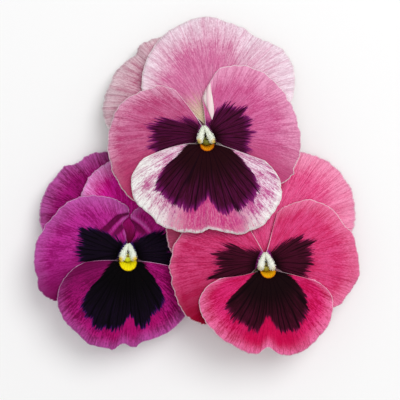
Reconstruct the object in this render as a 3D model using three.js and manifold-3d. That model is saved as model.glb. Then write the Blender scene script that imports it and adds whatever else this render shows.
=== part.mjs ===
// Three cut pansy blooms lying face up on a table, each partly over the next.
// Millimetres, +Z up. Seen from above, +Y is the top of every bloom and +X its right.
// Each bloom is built in its own frame: the throat at 0, 0, 0, the face towards +Z, the stem behind it.

import * as THREE from "three";
import { mergeVertices } from "three/addons/utils/BufferGeometryUtils.js";
import Module from "manifold-3d";

const wasm = await Module();
wasm.setup();

// ---- driving dimensions -------------------------------------------------------------------------

const BLADE = 0.65; // thickness of a petal or sepal
const DROOP = 0.004; // how fast the face falls away from the throat, per mm squared
const THROAT = { radius: 3.5, power: 1.6 }; // how fast the petals open out of the throat

// Height of each petal's face over the bloom's own plane, its fall at the lip of the throat,
// the height of its waves at the margin and how many there are.
const LAYERS = {
  upper_back: { face: 0, fall: 6, wave: 1.1, waves: 3.2 },
  upper_front: { face: 2.4, fall: 4.8, wave: 0.9, waves: 3.7 },
  side_left: { face: 4.3, fall: 3.5, wave: 0.6, waves: 3.1 },
  side_right: { face: 4.3, fall: 3.5, wave: 0.6, waves: 2.7 },
  lower: { face: 6.1, fall: 1.8, wave: 0.6, waves: 4.3 },
};

// Where each claw's two edges are at its foot and at the lip of the throat, from which the petal spreads.
// Points run anticlockwise round the bloom.
const CLAWS = {
  upper_back: { foot: [[-0.5, 2.4], [-1.6, 1.9]], lip: [[-0.5, 4.4], [-1.9, 4.1]] },
  upper_front: { foot: [[1.1, 2.3], [0.2, 2.5]], lip: [[1.2, 4.4], [0.2, 4.5]] },
  side_left: { foot: [[-2, 1.2], [-1.9, -0.1]], lip: [[-1.2, 4.8], [-3.6, -0.4]] },
  side_right: { foot: [[1.9, -0.1], [2, 1.2]], lip: [[3.6, -0.4], [1.4, 4.8]] },
  lower: { foot: [[-0.8, -2.8], [0.8, -2.8]], lip: [[-2.9, -1.2], [2.9, -1.2]] },
};
const CLAW_FOOT = -4.5; // height of the claws' feet, just over the receptacle

const RECEPTACLE = { y: 0.6, top: -5.5, bottom: -8.8, radius: 2.2, neck: 1.15 };
const SEPAL = { length: 13, auricle: 3.4, halfWidth: 1.9, directions: [90, 22, 158, -40, -140] };
const SPUR = { y: -3.9, top: -3, tip: -10.6, radius: 1.3 };
const STIGMA = { y: -0.1, z: 1.3, radius: 1.15 };
const STYLE = { y: 0.3, radius: 0.32, foot: -5.2 };
const ANTHERS = { foot: -5.1, top: -1.6, footRadius: 1.05, topRadius: 0.72, bore: 0.55 };
const BEARD = { low: [3, -0.8], high: [0.95, 5.2], halfWidth: 0.85, halfHeight: 0.55, clearance: 0.3, tufts: 6 };
const STEM = { apothem: 1.1, root: 1, sides: 8, steps: 14 };

// The blooms. at is the throat's place, lean its turn about X and about Y in degrees, and stem how the
// stem leaves: which way in degrees, how far it bends and how far it lies along the table.
// A petal has the points of its margin and bow, how far its first and last edge bulge outwards
// at the throat, in degrees.
const BLOOMS = [
  {
    name: "top",
    colour: 0xd77ba8,
    at: [3, 15.8, 20],
    lean: [-6, 0],
    stem: { heading: 90, bend: 11, run: 14 },
    petals: {
      upper_back: {
        bow: [10, -75],
        margin: [[4, 30], [0, 40], [-10, 45.5], [-19, 44.5], [-26, 41.5], [-29.5, 36.5], [-35, 32],
          [-39.5, 23.5], [-41.5, 16.5], [-41, 10.5], [-38, 4.5]],
      },
      upper_front: {
        bow: [-70, -55],
        margin: [[32, 12], [35, 20.5], [35.5, 27.5], [34.5, 33.5], [30.5, 39], [25.5, 41.5], [20.5, 43.5],
          [15.5, 47.5], [9, 50.5], [0.5, 52.5], [-8.5, 50.5], [-16.5, 45.5], [-22, 38.5], [-25, 30], [-25.5, 22],
          [-23, 15]],
      },
      side_left: {
        bow: [3, -12],
        margin: [[-12, 20], [-17.5, 22], [-24, 21], [-30.5, 18], [-35, 14], [-38, 7], [-39, 0], [-38, -7.5],
          [-35, -15], [-29, -23], [-22.5, -23.5]],
      },
      side_right: {
        bow: [-6, 6],
        margin: [[22.5, -15.5], [29, -16.5], [33.5, -13.5], [35, -9.5], [37, -4.5], [37, 3], [35.5, 11],
          [32.5, 17], [27.5, 23.5], [22.5, 28], [16, 30.5], [10.5, 30.5], [5.5, 29], [1.8, 25], [-1, 18]],
      },
      lower: {
        bow: [14, 0],
        margin: [[-24.5, -7], [-28.5, -12.5], [-29.2, -18], [-27, -24.5], [-22, -29], [-17, -33.5], [-9, -35.5],
          [-3, -36], [1, -34.5], [5.5, -35.5], [13, -36.5], [18.5, -34.5], [24.5, -30.5], [28.2, -25],
          [29.5, -19], [27.5, -13], [22.5, -8]],
      },
    },
  },
  {
    name: "left",
    colour: 0x9c1a78,
    at: [-28.6, -30, 13],
    lean: [-3, 7],
    stem: { heading: -45, bend: 5, run: 17 },
    petals: {
      upper_back: {
        bow: [10, -75],
        margin: [[5, 29], [3, 37], [-3, 42.5], [-9.5, 43], [-15.5, 41.5], [-20, 38.5], [-25, 37], [-29, 32.5],
          [-33, 26], [-34.5, 20.5], [-34.5, 14.5], [-32.5, 8]],
      },
      upper_front: {
        bow: [-75, -40],
        margin: [[29, 10.5], [32, 18], [31, 26.5], [26, 34.5], [18, 40], [9, 43], [0.5, 42], [-6.5, 39], [-11, 36],
          [-14.5, 33], [-16.5, 29], [-19, 23]],
      },
      side_left: {
        bow: [-12, -8],
        margin: [[0.2, 18.5], [-2.5, 22], [-7.5, 24], [-14, 25], [-20.5, 23.5], [-26.5, 20], [-31, 14.5],
          [-35, 8.5], [-37, 1], [-36, -6.5], [-34.5, -13], [-31, -16], [-27, -17], [-21, -16]],
      },
      side_right: {
        bow: [-6, 0],
        margin: [[21, -14.5], [27, -15], [31.5, -11], [34.5, -4], [35, 4], [33, 12], [29, 18.5], [23, 23],
          [16.5, 25], [10, 23.5], [5, 20.5], [2.2, 16.5]],
      },
      lower: {
        bow: [10, 8],
        margin: [[-22, -4], [-25.5, -8.5], [-27.5, -14], [-27, -19], [-24.5, -25], [-20, -29.5], [-16, -34],
          [-9.5, -36], [-5, -36], [-2, -34], [2.5, -35.5], [6.5, -33.5], [13, -31.5], [19, -28], [24, -22],
          [27, -16], [26, -10], [22.5, -5]],
      },
    },
  },
  {
    name: "right",
    colour: 0xd92f6c,
    at: [26.1, -33.4, 18.15],
    lean: [-3, 6],
    stem: { heading: -135, bend: 7, run: 15 },
    petals: {
      upper_back: {
        bow: [10, -75],
        margin: [[7.5, 30], [2.5, 40], [-6.5, 44.5], [-16.5, 44], [-26.5, 39], [-34.5, 30.5], [-38.2, 20.5],
          [-38.6, 13.5], [-37.4, 8], [-34, 3]],
      },
      upper_front: {
        bow: [-75, -20],
        margin: [[34.5, 10.5], [37.5, 17.5], [38.2, 23.5], [37, 30], [34, 36], [29, 41.5], [22.5, 44.5],
          [14, 46.5], [3.5, 45], [-4.5, 39], [-9, 30]],
      },
      side_left: {
        bow: [0, -8],
        margin: [[-9, 19.5], [-16.5, 21], [-24.5, 19], [-32, 14], [-36, 8], [-37.5, 1.5], [-37, -5],
          [-35, -12.5], [-31, -19], [-26.5, -22], [-21.5, -22.5]],
      },
      side_right: {
        bow: [-6, 0],
        margin: [[21, -15], [26.5, -16.5], [30, -15], [33, -12], [37, -7], [38.5, -1], [37.5, 6.5], [35.5, 13],
          [32, 17], [28, 22], [23.5, 25], [18.5, 26.5], [13, 25.5], [7.5, 23.5], [4.5, 21]],
      },
      lower: {
        bow: [-12, 0],
        margin: [[-20, -5], [-24, -8.5], [-26.5, -14], [-25, -19.5], [-20.5, -25.5], [-14.5, -30], [-9, -33],
          [-4, -34], [0.2, -31.5], [5, -34], [10, -35], [15, -33], [20.5, -28.5], [25.5, -21.5], [27, -15],
          [24.5, -9.5], [20, -6]],
      },
    },
  },
];

const COLOURS = { green: 0x6b9440, beard: 0xf1efdc, pistil: 0xb6b038, anthers: 0xc88a3c };

// ---- small helpers ------------------------------------------------------------------------------

const radians = THREE.MathUtils.degToRad;
const mix = THREE.MathUtils.lerp;
const smooth = (x) => THREE.MathUtils.smoothstep(x, 0, 1);

function between([from, to], share) {
  return new THREE.Vector2(mix(from[0], to[0], share), mix(from[1], to[1], share));
}

// A closed geometry with only its positions, shared between its faces.
function welded(geometry) {
  geometry.deleteAttribute("normal");
  geometry.deleteAttribute("uv");
  return mergeVertices(geometry, 1e-4);
}

function toManifold(geometry) {
  const closed = welded(geometry);
  return new wasm.Manifold(
    new wasm.Mesh({
      numProp: 3,
      vertProperties: new Float32Array(closed.attributes.position.array),
      triVerts: new Uint32Array(closed.index.array),
    }),
  );
}

function fromManifold(manifold) {
  const mesh = manifold.getMesh();
  const geometry = new THREE.BufferGeometry();
  geometry.setAttribute("position", new THREE.BufferAttribute(mesh.vertProperties, 3));
  geometry.setIndex(new THREE.BufferAttribute(mesh.triVerts, 1));
  return geometry;
}

function fused(geometries) {
  return fromManifold(geometries.map(toManifold).reduce((whole, next) => whole.add(next)));
}

// A blade of even thickness round the sheet that place(across, along) gives, both from 0 to 1. Both faces
// are split into the same triangles.
function blade(acrossCount, alongCount, thickness, place) {
  const sheet = new THREE.PlaneGeometry(1, 1, acrossCount, alongCount);
  const middle = sheet.attributes.position;
  for (let i = 0; i < middle.count; i += 1) {
    const point = place(middle.getX(i) + 0.5, 0.5 - middle.getY(i));
    middle.setXYZ(i, point.x, point.y, point.z);
  }
  sheet.computeVertexNormals();

  const normals = sheet.attributes.normal;
  const positions = [];
  for (const side of [0.5, -0.5]) {
    for (let i = 0; i < middle.count; i += 1) {
      const point = new THREE.Vector3().fromBufferAttribute(middle, i);
      const normal = new THREE.Vector3().fromBufferAttribute(normals, i);
      positions.push(...point.addScaledVector(normal, side * thickness).toArray());
    }
  }

  const under = middle.count; // the under face's vertices follow the upper face's
  const faces = [...sheet.index.array];
  for (let i = 0; i < sheet.index.count; i += 3) {
    const [a, b, c] = sheet.index.array.slice(i, i + 3);
    faces.push(under + a, under + c, under + b);
  }
  const row = acrossCount + 1;
  const rim = [];
  for (let i = 0; i < acrossCount; i += 1) rim.push(i);
  for (let j = 0; j < alongCount; j += 1) rim.push(j * row + acrossCount);
  for (let i = acrossCount; i > 0; i -= 1) rim.push(alongCount * row + i);
  for (let j = alongCount; j > 0; j -= 1) rim.push(j * row);
  rim.forEach((a, i) => {
    const b = rim[(i + 1) % rim.length];
    faces.push(a, b, under + a, b, under + b, under + a);
  });

  const geometry = new THREE.BufferGeometry();
  geometry.setAttribute("position", new THREE.Float32BufferAttribute(positions, 3));
  geometry.setIndex(faces);
  return geometry;
}

// ---- petals -------------------------------------------------------------------------------------

const RAYS_PER_SPAN = 2; // rays from the throat between two points of a petal's margin
const ROWS = 6; // rows of faces from the claw's foot to the margin: the first is the claw
const ROW_SPACING = 1.35; // the rows stand closer near the throat, where the face curves most
const BOW_REACH = 60; // degrees of bow that halve the length of a ray's first leg

// Height of a petal's face at a point of the bloom's plane.
function faceHeight(layer, x, y) {
  const distance = Math.hypot(x, y);
  const open = 1 - Math.exp(-((distance / THROAT.radius) ** THROAT.power));
  return layer.face * open - layer.fall * (1 - open) - DROOP * distance ** 2;
}

// A ray leaves the lip of the throat, bends and reaches the margin, as a petal's veins do.
function rayPoint(petal, lip, across, along) {
  const start = between(lip, across);
  const end = petal.curve.getPoint(across);
  const reach = end.clone().sub(start);
  const bend = radians(petal.bow[1]) * across ** 3 - radians(petal.bow[0]) * (1 - across) ** 3;
  const first = 0.5 / (1 + Math.abs(bend) / radians(BOW_REACH));
  const knee = reach.clone().rotateAround(new THREE.Vector2(), bend).multiplyScalar(first).add(start);
  return new THREE.QuadraticBezierCurve(start, knee, end).getPoint(along);
}

function waveHeight(layer, across, along) {
  const turn = 2 * Math.PI * layer.waves * across;
  return layer.wave * along ** 2.5 * (Math.sin(turn) + 0.5 * along * Math.sin(2.3 * turn + 1)) * 0.8;
}

function petalGeometry(kind, petal) {
  const layer = LAYERS[kind];
  const claw = CLAWS[kind];
  petal.curve = new THREE.SplineCurve(petal.margin.map(([x, y]) => new THREE.Vector2(x, y)));
  const rays = (petal.margin.length - 1) * RAYS_PER_SPAN;

  return blade(rays, ROWS, BLADE, (across, down) => {
    const row = Math.round(down * ROWS);
    if (row === 0) {
      const foot = between(claw.foot, across);
      return new THREE.Vector3(foot.x, foot.y, CLAW_FOOT);
    }
    const along = ((row - 1) / (ROWS - 1)) ** ROW_SPACING;
    const { x, y } = rayPoint(petal, claw.lip, across, along);
    return new THREE.Vector3(x, y, faceHeight(layer, x, y) + waveHeight(layer, across, along));
  });
}

// The lower petal's nectar spur, a blunt tube that passes between two sepals.
function spurGeometry() {
  const length = SPUR.top - SPUR.tip - 2 * SPUR.radius;
  const tube = new THREE.CapsuleGeometry(SPUR.radius, length, 3, 10);
  tube.rotateX(Math.PI / 2);
  tube.translate(0, SPUR.y, (SPUR.top + SPUR.tip) / 2);
  return tube;
}

// ---- the bloom's middle and back ----------------------------------------------------------------

// A tuft of club hairs on the base of a side petal: a ridge with one swelling for each row of hairs.
function beardGeometry(side) {
  const low = new THREE.Vector2(...BEARD.low);
  const high = new THREE.Vector2(...BEARD.high);
  const along = high.clone().sub(low).normalize();
  const outwards = new THREE.Vector2(along.y, -along.x);
  const layer = LAYERS.side_left;
  const ridge = new THREE.SphereGeometry(1, 8, 14);
  const points = ridge.attributes.position;
  for (let i = 0; i < points.count; i += 1) {
    const share = (points.getY(i) + 1) / 2;
    const swell = 1 + 0.14 * Math.cos(2 * Math.PI * BEARD.tufts * share);
    const middle = low.clone().lerp(high, share);
    middle.addScaledVector(outwards, points.getX(i) * BEARD.halfWidth * swell);
    const lift = faceHeight(layer, middle.x, middle.y) + BLADE + BEARD.clearance + BEARD.halfHeight;
    points.setXYZ(i, middle.x, middle.y, lift + points.getZ(i) * BEARD.halfHeight * swell);
  }
  if (side < 0) ridge.scale(-1, 1, 1);
  const closed = welded(ridge);
  if (side < 0) flipFaces(closed);
  return closed;
}

function flipFaces(geometry) {
  const index = geometry.index.array;
  for (let i = 0; i < index.length; i += 3) [index[i + 1], index[i + 2]] = [index[i + 2], index[i + 1]];
}

function lathe(profile, sides) {
  const turned = new THREE.LatheGeometry(profile.map(([r, z]) => new THREE.Vector2(r, z)), sides);
  turned.rotateX(Math.PI / 2);
  return turned;
}

// The style and the round head of the stigma.
function pistilGeometry() {
  const style = lathe([[0, STYLE.foot], [STYLE.radius, STYLE.foot], [STYLE.radius, STIGMA.z], [0, STIGMA.z]], 8);
  style.translate(0, STYLE.y, 0);
  const head = new THREE.SphereGeometry(STIGMA.radius, 10, 6);
  head.translate(0, STIGMA.y, STIGMA.z);
  return fused([style, head]);
}

// The five anthers stand together as a ribbed cone round the style.
function anthersGeometry() {
  const { foot, top, footRadius, topRadius, bore } = ANTHERS;
  const cone = lathe([[bore, foot], [footRadius, foot], [footRadius, mix(foot, top, 0.4)], [topRadius, top],
    [bore, top], [bore, foot]], 10);
  cone.translate(0, STYLE.y, 0);
  return welded(cone);
}

function sepalGeometry(direction) {
  const { length, auricle, halfWidth } = SEPAL;
  const whole = length + auricle;
  // Distance from the receptacle's axis and height, from the auricle's tip to the sepal's tip.
  const spine = new THREE.SplineCurve(
    [[3.1, -9.4], [1.7, -7.2], [2.6, -5.6], [5.2, -4.2], [9, -3.2], [12.6, -3]].map(([r, z]) => new THREE.Vector2(r, z)),
  );
  const leaf = blade(2, 7, BLADE, (across, along) => {
    const { x: out, y: up } = spine.getPoint(along);
    const fromTip = (1 - along) * whole;
    const width = halfWidth * Math.min(smooth(fromTip / 7) + 0.06, 0.55 + 0.45 * smooth(along * 2.5));
    const cross = (across - 0.5) * 2;
    return new THREE.Vector3(out, -cross * width, up + 0.35 * (cross ** 2) * smooth(along * 3));
  });
  leaf.rotateZ(radians(direction));
  leaf.translate(0, RECEPTACLE.y, 0);
  return leaf;
}

function stemGeometry(bloom, frame) {
  const start = new THREE.Vector3(0, RECEPTACLE.y, RECEPTACLE.bottom + STEM.root).applyMatrix4(frame);
  const heading = radians(bloom.stem.heading);
  const away = new THREE.Vector3(Math.cos(heading), Math.sin(heading), 0);
  const elbow = start.clone().setZ(STEM.apothem);
  const down = elbow.clone().addScaledVector(away, bloom.stem.bend);
  const cut = down.clone().addScaledVector(away, bloom.stem.run);
  const path = new THREE.CurvePath();
  path.add(new THREE.QuadraticBezierCurve3(start, elbow, down));
  path.add(new THREE.LineCurve3(down, cut));

  const corner = STEM.apothem / Math.cos(Math.PI / STEM.sides);
  const section = new THREE.Shape();
  for (let i = 0; i < STEM.sides; i += 1) {
    const angle = (2 * Math.PI * (i + 0.5)) / STEM.sides;
    section[i ? "lineTo" : "moveTo"](corner * Math.cos(angle), corner * Math.sin(angle));
  }
  section.closePath();
  return welded(new THREE.ExtrudeGeometry(section, { steps: STEM.steps, extrudePath: path }));
}

// The receptacle with its five sepals, each with a lobe that points back along the stem, and the stem,
// which bends and lies along the table on one flat side.
function stemAndCalyxGeometry(bloom, frame) {
  const { y, top, bottom, radius, neck } = RECEPTACLE;
  const body = lathe([[0, bottom], [neck, bottom], [radius * 0.8, mix(bottom, top, 0.35)],
    [radius, mix(bottom, top, 0.75)], [radius, top], [0, top]], 10);
  body.translate(0, y, 0);
  const calyx = [body, ...SEPAL.directions.map(sepalGeometry)].map((piece) => piece.applyMatrix4(frame));
  return fused([...calyx, stemGeometry(bloom, frame)]);
}

// ---- the cluster --------------------------------------------------------------------------------

function node(name, geometry, colour, roughness) {
  const mesh = new THREE.Mesh(geometry, new THREE.MeshStandardMaterial({ color: colour, roughness, metalness: 0 }));
  mesh.name = name;
  return mesh;
}

function makeBloom(bloom) {
  const group = new THREE.Group();
  group.position.set(...bloom.at);
  group.rotation.set(radians(bloom.lean[0]), radians(bloom.lean[1]), 0);
  for (const [kind, petal] of Object.entries(bloom.petals)) {
    const limb = petalGeometry(kind, petal);
    const shape = kind === "lower" ? fused([limb, spurGeometry()]) : limb;
    group.add(node(`${bloom.name}_petal_${kind}`, shape, bloom.colour, 0.7));
  }
  group.add(node(`${bloom.name}_beard_left`, beardGeometry(-1), COLOURS.beard, 0.9));
  group.add(node(`${bloom.name}_beard_right`, beardGeometry(1), COLOURS.beard, 0.9));
  group.add(node(`${bloom.name}_pistil`, pistilGeometry(), COLOURS.pistil, 0.5));
  group.add(node(`${bloom.name}_anthers`, anthersGeometry(), COLOURS.anthers, 0.7));
  group.updateMatrix();
  return group;
}

const cluster = new THREE.Group();
for (const bloom of BLOOMS) {
  const group = makeBloom(bloom);
  cluster.add(group);
  const green = stemAndCalyxGeometry(bloom, group.matrix);
  cluster.add(node(`${bloom.name}_stem_and_calyx`, green, COLOURS.green, 0.6));
}

// The part's origin is the middle of its footprint, on the table.
cluster.updateMatrixWorld(true);
const extent = new THREE.Box3().setFromObject(cluster, true);
const middle = extent.getCenter(new THREE.Vector3());
cluster.position.set(-middle.x, -middle.y, 0);

export default cluster;
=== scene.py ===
"""The looks of three cut pansy blooms that lie face up on a pale table, each partly over the next.

Every petal is grown as a fan of veins that leave the throat, bend and reach the petal's margin. The sizes are
millimetres in the bloom's own frame, with the throat at 0, 0, 0 and the face towards +Z, until a piece is
finished; then it stands in the row's frame in metres.
"""

import math
import random

import bmesh
import bpy
import numpy as np
from mathutils import Euler, Matrix, Vector


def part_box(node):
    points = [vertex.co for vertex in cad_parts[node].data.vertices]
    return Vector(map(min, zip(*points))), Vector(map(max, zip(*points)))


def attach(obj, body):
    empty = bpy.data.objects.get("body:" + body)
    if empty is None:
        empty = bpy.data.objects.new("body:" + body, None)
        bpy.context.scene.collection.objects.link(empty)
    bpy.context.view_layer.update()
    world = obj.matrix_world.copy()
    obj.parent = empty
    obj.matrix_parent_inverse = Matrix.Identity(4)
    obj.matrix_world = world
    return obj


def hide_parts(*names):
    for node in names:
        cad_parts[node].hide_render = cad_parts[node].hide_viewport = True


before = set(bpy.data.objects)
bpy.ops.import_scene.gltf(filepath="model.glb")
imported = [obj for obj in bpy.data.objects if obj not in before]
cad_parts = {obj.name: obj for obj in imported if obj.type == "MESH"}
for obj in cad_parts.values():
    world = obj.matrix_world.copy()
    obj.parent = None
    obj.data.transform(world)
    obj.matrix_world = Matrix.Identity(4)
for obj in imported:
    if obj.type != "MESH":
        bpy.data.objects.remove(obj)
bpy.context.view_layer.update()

MM = 0.001

# ---- the blooms ---------------------------------------------------------------------------------

PETAL_THICKNESS = 0.3
DROOP = 0.004  # how fast the face falls away from the throat, per mm squared
THROAT_RADIUS = 3.5
THROAT_POWER = 1.6
CLAW_FOOT = -4.5  # height of the claws' feet
APEX_GAP = (0.35, 0.2)  # how far beside and below the apex the claws of the side petals end
RAYS = 150  # faces across a petal
CLAW_ROWS = 4
LIMB_ROWS = 44
ROW_SPACING = 1.2  # the rows stand closer near the throat
VEIN_SPAN = 85.0  # about the length of a petal's margin, so that the veins are as close on each petal
VEIN_STEP = 0.005  # the share of a petal's width over which the veins' spacing is measured
STRIPE_HEADING = -88  # where the stripe of a lower petal runs, in degrees
# What a point far from the blotch, the eye, the beard and the edge gets: how deep it is in the first two, and
# how far it is from the others.
NO_BLOTCH = -30.0
NO_EYE = -5.0
NO_BEARD = 9.0
NO_EDGE = 99.0
TABLE_HALF_WIDTH = 3  # metres
TABLE_WHITE = (0.95, 0.95, 0.95, 1.0)
ROOM_LIGHT = 0.47

# Height of each petal's face, its fall at the lip of the throat, its waves' height and their number.
LAYERS = {
    "upper_back": {"face": 0, "fall": 6, "wave": 1.1, "waves": 3.2},
    "upper_front": {"face": 2.4, "fall": 4.8, "wave": 0.9, "waves": 3.7},
    "side_left": {"face": 4.3, "fall": 3.5, "wave": 0.6, "waves": 3.1},
    "side_right": {"face": 4.3, "fall": 3.5, "wave": 0.6, "waves": 2.7},
    "lower": {"face": 6.1, "fall": 1.8, "wave": 0.6, "waves": 4.3},
}

# Each claw's two edges at its foot and at the lip of the throat, anticlockwise round the bloom. The side
# petals meet at the bloom's apex, over the throat.
CLAWS = {
    "upper_back": {"foot": [(-0.5, 2.4), (-1.6, 1.9)], "lip": [(-0.5, 4.4), (-1.9, 4.1)]},
    "upper_front": {"foot": [(1.1, 2.3), (0.2, 2.5)], "lip": [(1.2, 4.4), (0.2, 4.5)]},
    "side_left": {"foot": [(-2, 1.2), (-1.9, -0.1)], "lip": [(-1.2, 4.8), (-3.6, -0.4)]},
    "side_right": {"foot": [(1.9, -0.1), (2, 1.2)], "lip": [(3.6, -0.4), (1.4, 4.8)]},
    "lower": {"foot": [(-0.8, -2.8), (0.8, -2.8)], "lip": [(-2.9, -1.2), (2.9, -1.2)]},
}

SPUR = {
    "spine": [(0, -3.9, -3), (0, -3.9, -5.5), (0, -3.95, -8), (0, -4.05, -9.6), (0, -4.1, -10.6)],
    "radii": [1.25, 1.3, 1.28, 1.2, 1.1, 0.85, 0],
}
BEARD = {
    "foot": (2.6, -1.2),
    "parting": 0.15,
    "bulge": 0.25,
    "rise": [4.4, 4.0, 4.3],
    "half_width": [0, 0.95, 1.15, 1.15, 1.05, 0.95, 0.8, 0.6, 0],
    "half_height": [0, 0.9, 1.15, 1.15, 1.0, 0.9, 0.8, 0.6, 0],
    "yellow_foot": (3.12, -0.8),
    "yellow_reach": 1.69,
    "yellow_fade": 1.3,
}
# jitter: how far a hair's foot strays. upwards and splay: how much its heading turns up, and strays with its
# foot. middle: how far out its middle stands, as a share of its length.
HAIR = {"number": 260, "length": (0.4, 0.65), "radius": 0.09, "jitter": 0.12, "upwards": 0.3, "splay": 2.5,
        "middle": 0.35}
STYLE = {
    "spine": [(0, 0.6, -5.2), (0, 1.0, -3.8), (0, 0.6, -1.8), (0, 0.1, 0.8)],
    "radii": [0, 0.3, 0.2, 0.24, 0.3, 0.38, 0.45, 0.5, 0],
}
# solid_middle: the middle of the stigma's solid, which places the whole bloom. dent and brim: their depth and
# height as shares of the head's radius. Their widths and the brim's place are angles round the hole's middle.
STIGMA = {
    "solid_middle": (0, -0.1, 1.3),
    "middle": (0.1, -0.1, 2.3),
    "radii": (1.85, 1.6, 1.3),
    "hole": (0, 0.55, 0.8),
    "dent": 0.55,
    "dent_width": 0.38,
    "brim": 0.07,
    "brim_angle": 0.62,
    "brim_width": 0.2,
}
# profile: distance from the style, how much of the flare it takes and height, from foot to tip. The flare is
# wider at the back of the bloom than at the front.
ANTHERS = {
    "y": 0.3,
    "profile": [(0.6, 0, -5.1), (0.85, 0.1, -3.6), (0.8, 0.4, -2), (0.8, 0.9, -0.6), (0.8, 1.5, 0.5)],
    "flare": {"back": 1.0, "front": 0.5},
    "half_width": [0, 0.45, 0.55, 0.55, 0.5, 0.5, 0.45, 0],
    "half_height": [0, 0.25, 0.3, 0.28, 0.2, 0.15, 0.1, 0],
    "tip_from": -1.6,
    "tip_fade": 0.5,
}
RECEPTACLE = {"y": 0.6, "heights": (-8.8, -7.6, -6.4, -5.3), "radii": [1.1, 1.25, 1.7, 2.1, 2.2, 2.0, 1.3, 0]}
SEPAL = {
    "directions": [90, 22, 158, -40, -140],
    "spine": [(3.1, -9.4), (1.7, -7.2), (2.6, -5.6), (5.2, -4.2), (9, -3.2), (12.6, -3)],
    "half_width": [0, 0.95, 1.25, 1.5, 1.8, 1.9, 1.85, 1.6, 1.25, 0.85, 0.4, 0],
    "half_height": [0, 0.25, 0.3, 0.28, 0.25, 0.22, 0.2, 0.2, 0.18, 0.15, 0.1, 0],
    "cup": 0.12,
}
# ribs: their number and their height as a share of the radius.
STEM = {"radius": 1.05, "height": 1.12, "sunk": 1, "ribs": (5, 0.05), "cut_rim": 0.25}

# The petals of each bloom, with points (x, y) as seen from the front.
# bow: how far a petal's first and last edge bulge outwards at the throat, in degrees.
# margin: points along the petal's outer edge. blotch: points along the outer edge of its dark blotch.
# flap: where the petal's edge curls over, from its crest to its free edge.
# inner_edge: points (y, x) along a crumpled petal's edge above the apex. It has a pale rim from rim_from up.
# creases: lines with folds beside them, as crease_folds says.
TOP_PETALS = {
    "upper_back": {
        "bow": (10, -75),
        "margin": [
            (4, 30), (0, 40), (-10, 45.5), (-19, 44.5), (-26, 41.5), (-29.5, 36.5), (-35, 32),
            (-39.5, 23.5), (-41.5, 16.5), (-41, 10.5), (-38, 4.5),
        ],
    },
    "upper_front": {
        "bow": (-70, -55),
        "margin": [
            (32, 12), (35, 20.5), (35.5, 27.5), (34.5, 33.5), (30.5, 39), (25.5, 41.5), (20.5, 43.5),
            (15.5, 47.5), (9, 50.5), (0.5, 52.5), (-8.5, 50.5), (-16.5, 45.5), (-22, 38.5), (-25, 30),
            (-25.5, 22), (-23, 15),
        ],
    },
    "side_left": {
        "bow": (3, -12),
        "margin": [
            (-12, 20), (-17.5, 22), (-24, 21), (-30.5, 18), (-35, 14), (-38, 7), (-39, 0), (-38, -7.5),
            (-35, -15), (-29, -23), (-22.5, -23.5),
        ],
        "blotch": [
            (-4, 7.5), (-8.8, 9.3), (-12, 8), (-14.5, 8.8), (-18.4, 9.2), (-23.6, 5.2), (-21.6, 3.2),
            (-22.4, 1.2), (-21.8, -0.8), (-23, -2.6), (-18, -5),
        ],
    },
    "side_right": {
        "bow": (-6, -6),
        "margin": [
            (22.5, -15.5), (29, -16.5), (33.5, -13.5), (35, -9.5), (37, -4.5), (37, 3), (35.5, 11),
            (32.5, 17), (27.5, 23.5), (22.5, 28), (16, 30.5), (10.5, 30.5), (5.5, 29), (2, 24.5),
            (-0.8, 19.2), (-1.6, 15.8),
        ],
        "flap": {
            "crest": [(1.6, 23), (-0.4, 19.6), (-1.3, 16.4), (0.1, 12.6), (1.5, 9.4), (2.2, 8)],
            "free": [(1.6, 23), (1.9, 19.6), (2.5, 16.4), (2.9, 13), (2.9, 10.4), (2.2, 8)],
        },
        "blotch": [
            (13, -8), (18, -4.6), (16.6, -2.2), (17.8, 0.4), (17.7, 5.2), (16.4, 8.6), (15.6, 11.8),
            (16.4, 13.9), (12, 13.4), (10.6, 14.6), (6.6, 14.4), (4.8, 12.6), (2.9, 11.6), (2, 8),
        ],
    },
    "lower": {
        "bow": (14, 0),
        "margin": [
            (-24.5, -7), (-28.5, -12.5), (-29.2, -18), (-27, -24.5), (-22, -29), (-17, -33.5), (-9, -35.5),
            (-3, -36), (1, -34.5), (5.5, -35.5), (13, -36.5), (18.5, -34.5), (24.5, -30.5), (28.2, -25),
            (29.5, -19), (27.5, -13), (22.5, -8),
        ],
        "blotch": [
            (-8, -2.4), (-11.2, -6.4), (-15.6, -10), (-18.4, -12.8), (-19.2, -15.6), (-19.8, -19.4),
            (-17.2, -22), (-13.6, -24.8), (-8.4, -27), (-5.6, -27.6), (-2.4, -26), (0.6, -22.6),
            (2.4, -25.2), (6.4, -28.8), (9.6, -27.8), (12.8, -28), (15, -25.8), (17.8, -23.6),
            (20.8, -18.8), (19.4, -14.8), (16.6, -11.4), (13.8, -7.8), (10.4, -4.6),
        ],
    },
}

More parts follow.
